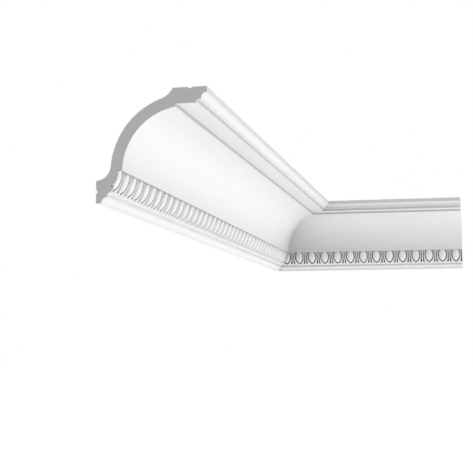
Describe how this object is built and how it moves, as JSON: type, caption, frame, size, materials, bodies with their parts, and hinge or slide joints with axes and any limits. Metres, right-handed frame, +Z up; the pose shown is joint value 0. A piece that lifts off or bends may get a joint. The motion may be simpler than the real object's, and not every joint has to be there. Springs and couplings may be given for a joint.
{
  "type": "cornice moulding section",
  "caption": "Coved cornice with an egg-and-dart band: a long and a short length mitred at an inside corner, with square cut ends.",
  "frame": {"origin": "on the long length's wall bedding face, halfway along it, at the middle of the flat below its adhesive groove (4 mm above the foot)", "axes": "+Z up to the ceiling, +Y along the long length towards the room corner, +X out of the long wall and along the short length"},
  "size_m": [0.298, 0.866, 0.1],
  "materials": {
    "primed_moulding": "matt white factory primer over a dense moulded polymer"
  },
  "bodies": {
    "root": {"long_length": "primed_moulding", "short_length": "primed_moulding"}
  },
  "joints": []
}
